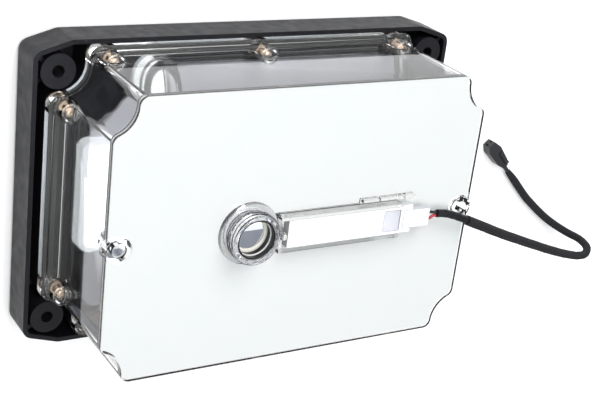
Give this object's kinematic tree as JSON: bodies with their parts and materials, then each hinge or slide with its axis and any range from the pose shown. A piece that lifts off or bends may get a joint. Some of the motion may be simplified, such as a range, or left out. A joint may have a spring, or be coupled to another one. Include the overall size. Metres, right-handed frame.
{
  "type": "garage door opener wall unit",
  "caption": "Flush illuminated wall unit seen from behind: black frame, clear rear tub, threaded spigot, slide-in lamp module and a sleeved lead with a plug.",
  "frame": {"origin": "middle of the front rim's plane, which is the face that lies on the bench", "axes": "+X along the long side towards the lead, +Y along the short side, +Z out of the back, away from the front"},
  "size_m": [0.3693, 0.156, 0.0925],
  "materials": {
    "frame_black": "satin",
    "fascia_black": "gloss",
    "window_white": "translucent gloss",
    "lens_opal": "opal satin",
    "panel_grey": "satin",
    "clear_plastic": "clear gloss",
    "clear_smoky": "clear gloss, faintly grey",
    "gasket_black": "matte",
    "backing_white": "satin",
    "screw_copper": "copper-toned satin",
    "insert_brass": "knurled satin",
    "seal_black": "satin",
    "seat_cream": "satin",
    "spacer_white": "satin",
    "lamp_white": "satin",
    "board_green": "solder mask",
    "led_phosphor": "gloss",
    "block_lavender": "tinted milky gloss",
    "pin_metal": "polished",
    "plug_white": "satin",
    "wire_red": "satin",
    "wire_black": "satin",
    "shrink_black": "satin",
    "sleeve_braid": "fine braid",
    "connector_black": "satin gloss"
  },
  "bodies": {
    "housing": {"bezel_frame": "frame_black", "front_fascia": "fascia_black", "window_surround": "window_white", "window_lens": "lens_opal", "upper_face_panel": "panel_grey", "lower_face_panel": "panel_grey", "port_ring": "clear_plastic", "port_lens": "lens_opal", "flange_gasket": "gasket_black", "clear_tub": "clear_plastic", "white_backing": "backing_white", "clamp_screw_1": "screw_copper", "clamp_screw_2": "screw_copper", "clamp_screw_3": "screw_copper", "clamp_screw_4": "screw_copper", "clamp_screw_5": "screw_copper", "clamp_screw_6": "screw_copper", "clamp_screw_7": "screw_copper", "clamp_screw_8": "screw_copper", "clamp_screw_9": "screw_copper", "clamp_screw_10": "screw_copper", "thread_insert_1": "insert_brass", "thread_insert_2": "insert_brass", "thread_insert_3": "insert_brass", "thread_insert_4": "insert_brass", "thread_insert_5": "insert_brass", "thread_insert_6": "insert_brass", "thread_insert_7": "insert_brass", "thread_insert_8": "insert_brass", "thread_insert_9": "insert_brass", "thread_insert_10": "insert_brass", "threaded_spigot": "clear_smoky", "seal_seat_ring": "seat_cream", "inner_seal": "seal_black", "seal_spacer": "spacer_white", "outer_seal": "seal_black", "lamp_channel": "clear_plastic"},
    "lamp": {"lamp_case": "lamp_white", "lamp_board": "board_green", "lamp_led_1": "led_phosphor", "lamp_led_2": "led_phosphor", "lamp_led_3": "led_phosphor", "lamp_end_block": "block_lavender", "lamp_header": "lamp_white", "header_pin_1": "pin_metal", "header_pin_2": "pin_metal"},
    "lead": {"lead_plug": "plug_white", "red_wire": "wire_red", "black_wire": "wire_black", "lead_shrink": "shrink_black", "lead_sleeve": "sleeve_braid", "lead_neck": "wire_black", "connector_body": "connector_black", "connector_latch": "connector_black"}
  },
  "joints": [
    {"name": "lamp_slide", "type": "slide", "parent": "housing", "child": "lamp", "axis": [1, 0, 0], "range_m": [0, 0.075]},
    {"name": "plug_pull", "type": "slide", "parent": "lamp", "child": "lead", "axis": [1, 0, 0], "range_m": [0, 0.01]}
  ]
}
